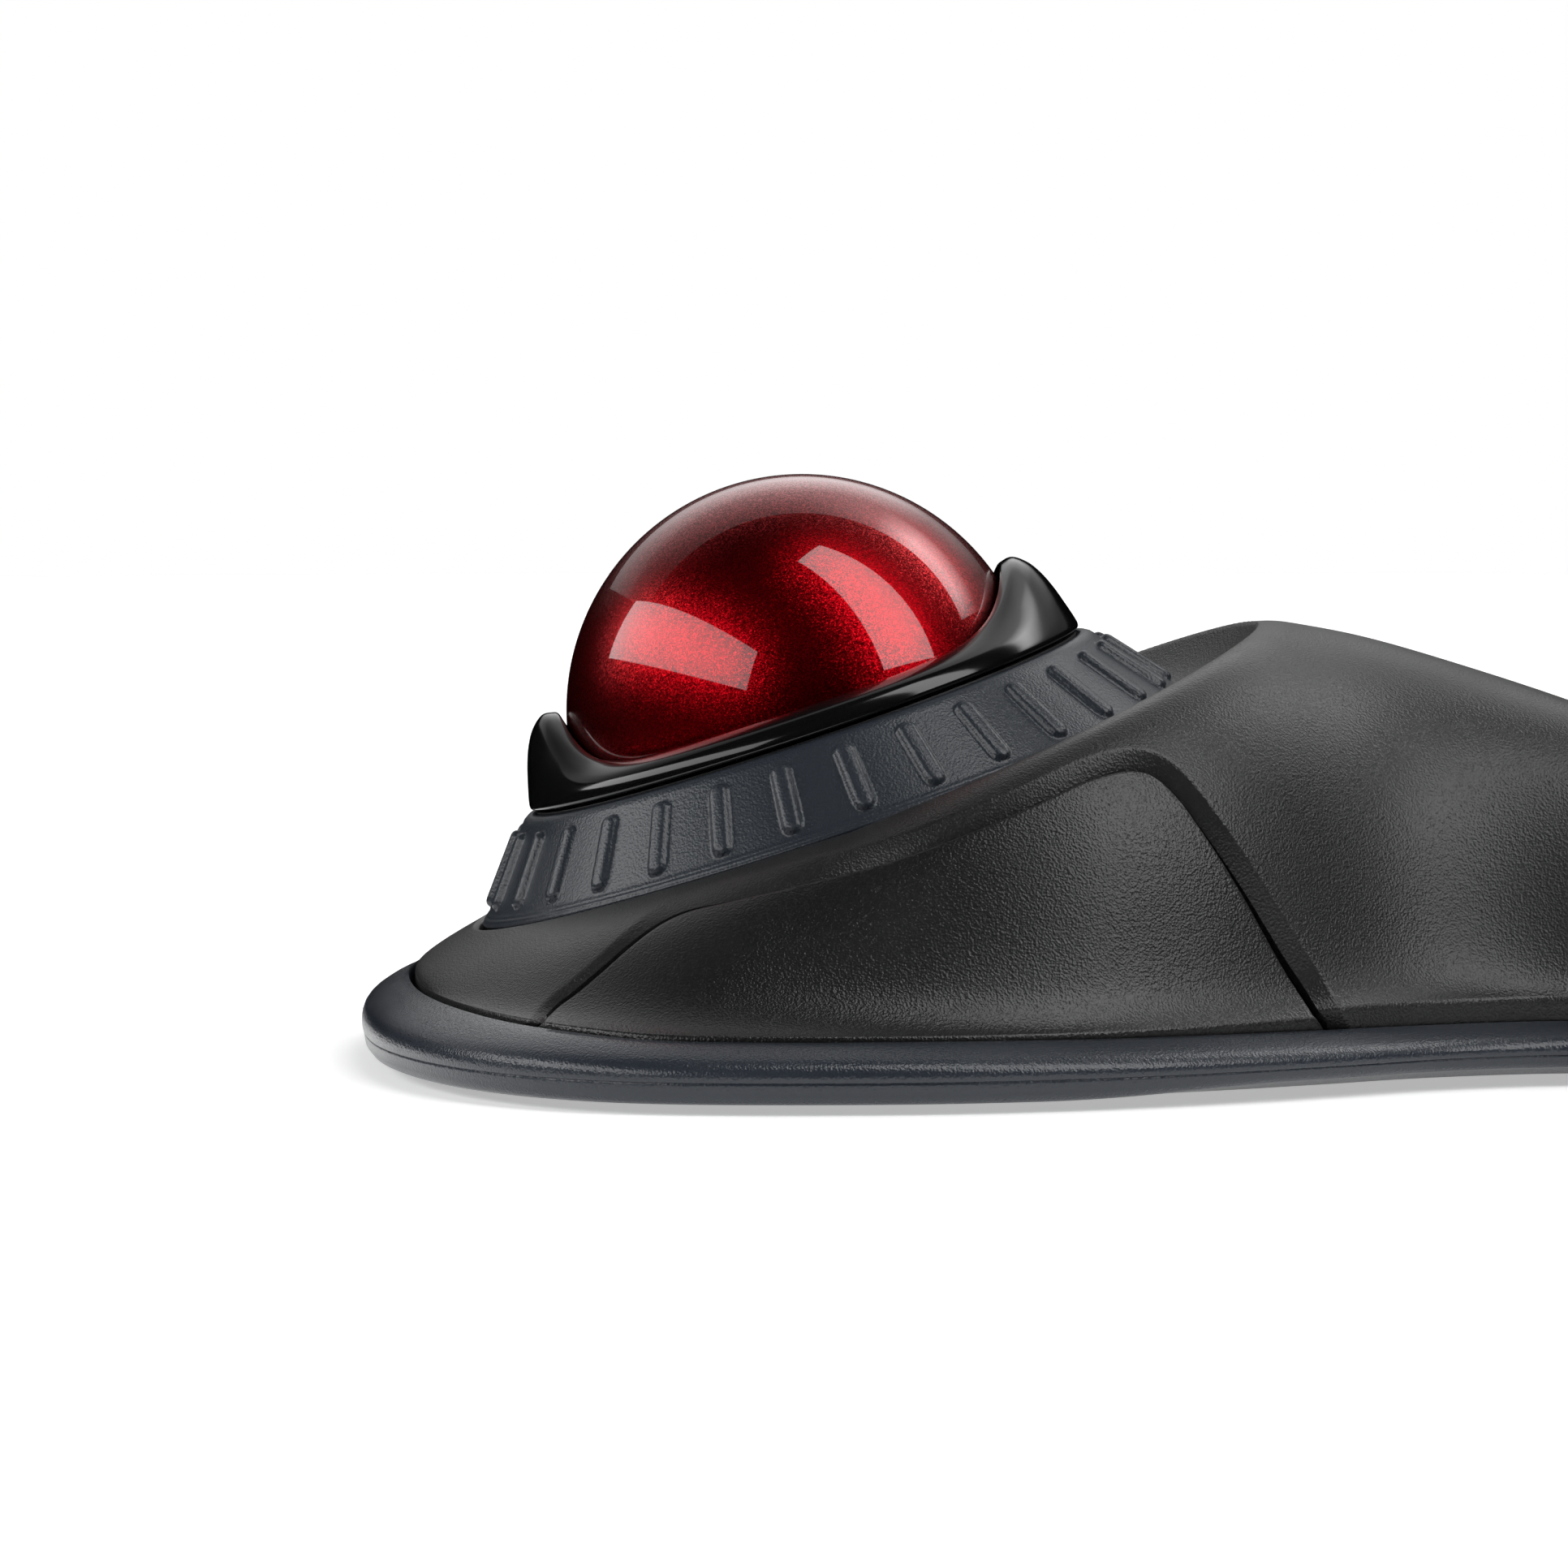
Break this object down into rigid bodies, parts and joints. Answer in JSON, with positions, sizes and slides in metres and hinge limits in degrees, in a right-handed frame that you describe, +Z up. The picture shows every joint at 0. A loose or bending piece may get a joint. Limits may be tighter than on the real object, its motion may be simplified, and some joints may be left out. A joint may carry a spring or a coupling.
{
  "type": "trackball mouse",
  "caption": "Low ambidextrous trackball with a large ball in a gloss saddle bezel, a tilted ribbed scroll ring, side buttons and a tall palm hump.",
  "frame": {"origin": "under the middle of the body on the resting plane of the feet", "axes": "+Z up, +Y towards the nose, +X towards the user's right"},
  "size_m": [0.1148, 0.145, 0.0496],
  "materials": {
    "case_black": "fine matte",
    "trim_slate": "satin fine texture",
    "shell_black": "fine leather-like grain",
    "button_black": "fine leather-like grain",
    "steel": "plain",
    "ball_red": "metal flake under clear coat",
    "ball_core": "cast resin",
    "bezel_gloss": "piano gloss",
    "cup_black": "moulded",
    "ceramic": "polished",
    "code_film": "moulded",
    "ptfe": "smooth",
    "chip": "moulded",
    "pcb": "solder mask",
    "lens": "clear",
    "flex": "polyimide",
    "switch_black": "moulded",
    "plunger_red": "moulded",
    "cell_sleeve": "printed sleeve, no marks",
    "knob_grey": "satin",
    "foot_rubber": "matte"
  },
  "bodies": {
    "root": {"bottom_case": "case_black", "base_trim": "trim_slate", "top_shell": "shell_black", "button_pins": "steel", "ball_bezel": "bezel_gloss", "ball_cup": "cup_black", "ball_bearings": "ceramic", "glide_ring": "ptfe", "ring_sensor": "chip", "sensor_board": "pcb", "ball_sensor": "chip", "sensor_lens": "lens", "sensor_flex": "flex", "main_board": "pcb", "controller_chip": "chip", "left_switch": "switch_black", "right_switch": "switch_black", "battery_bay": "case_black", "batteries": "cell_sleeve", "contact_springs": "steel", "contact_plates": "steel", "power_switch": "steel", "dpi_switch": "switch_black", "rubber_feet": "foot_rubber", "case_screws": "steel", "board_screws": "steel", "cup_screws": "steel"},
    "ball": {"ball": "ball_red"},
    "ball_core": {"ball_core": "ball_core"},
    "scroll_ring": {"scroll_ring": "trim_slate", "encoder_ring": "code_film"},
    "left_button": {"left_button": "button_black"},
    "right_button": {"right_button": "button_black"},
    "left_plunger": {"left_plunger": "plunger_red"},
    "right_plunger": {"right_plunger": "plunger_red"},
    "battery_door": {"battery_door": "case_black"},
    "power_slider": {"power_slider": "knob_grey"},
    "dpi_button": {"dpi_button": "knob_grey"},
    "usb_receiver": {"usb_receiver": "case_black"}
  },
  "joints": [
    {"name": "ball_pitch", "type": "hinge", "parent": "root", "child": "ball_core", "pos_m": [0, 0.0351, 0.0296], "axis": [1, 0, 0], "continuous": true},
    {"name": "ball_roll", "type": "hinge", "parent": "ball_core", "child": "ball", "pos_m": [0, 0.0351, 0.0296], "axis": [0, 1, 0], "continuous": true},
    {"name": "ring_spin", "type": "hinge", "parent": "root", "child": "scroll_ring", "pos_m": [0, 0.0351, 0.0296], "axis": [0, 0.3173, 0.9483], "continuous": true},
    {"name": "left_press", "type": "hinge", "parent": "root", "child": "left_button", "pos_m": [-0.035, -0.0009, 0.0078], "axis": [-1, 0, 0], "range_deg": [0, 0.7], "stiffness_Nm_per_rad": 4},
    {"name": "right_press", "type": "hinge", "parent": "root", "child": "right_button", "pos_m": [0.035, -0.0009, 0.0078], "axis": [-1, 0, 0], "range_deg": [0, 0.7], "stiffness_Nm_per_rad": 4},
    {"name": "left_plunger_slide", "type": "slide", "parent": "root", "child": "left_plunger", "axis": [0, 0, -1], "range_m": [0, 0.0006]},
    {"name": "right_plunger_slide", "type": "slide", "parent": "root", "child": "right_plunger", "axis": [0, 0, -1], "range_m": [0, 0.0006]},
    {"name": "door_swing", "type": "hinge", "parent": "root", "child": "battery_door", "pos_m": [0, -0.0455, 0.00175], "axis": [-1, 0, 0], "range_deg": [0, 75]},
    {"name": "power_slide", "type": "slide", "parent": "root", "child": "power_slider", "axis": [0, 1, 0], "range_m": [0, 0.003]},
    {"name": "dpi_press", "type": "slide", "parent": "root", "child": "dpi_button", "axis": [0, 0, 1], "range_m": [0, 0.0006], "stiffness_N_per_m": 500},
    {"name": "receiver_pull", "type": "slide", "parent": "root", "child": "usb_receiver", "axis": [-1, 0, 0], "range_m": [0, 0.0132]}
  ],
  "couplings": [
    {"joint": "left_plunger_slide", "follows": "left_press", "m_per_rad": 0.0441},
    {"joint": "right_plunger_slide", "follows": "right_press", "m_per_rad": 0.0441}
  ]
}
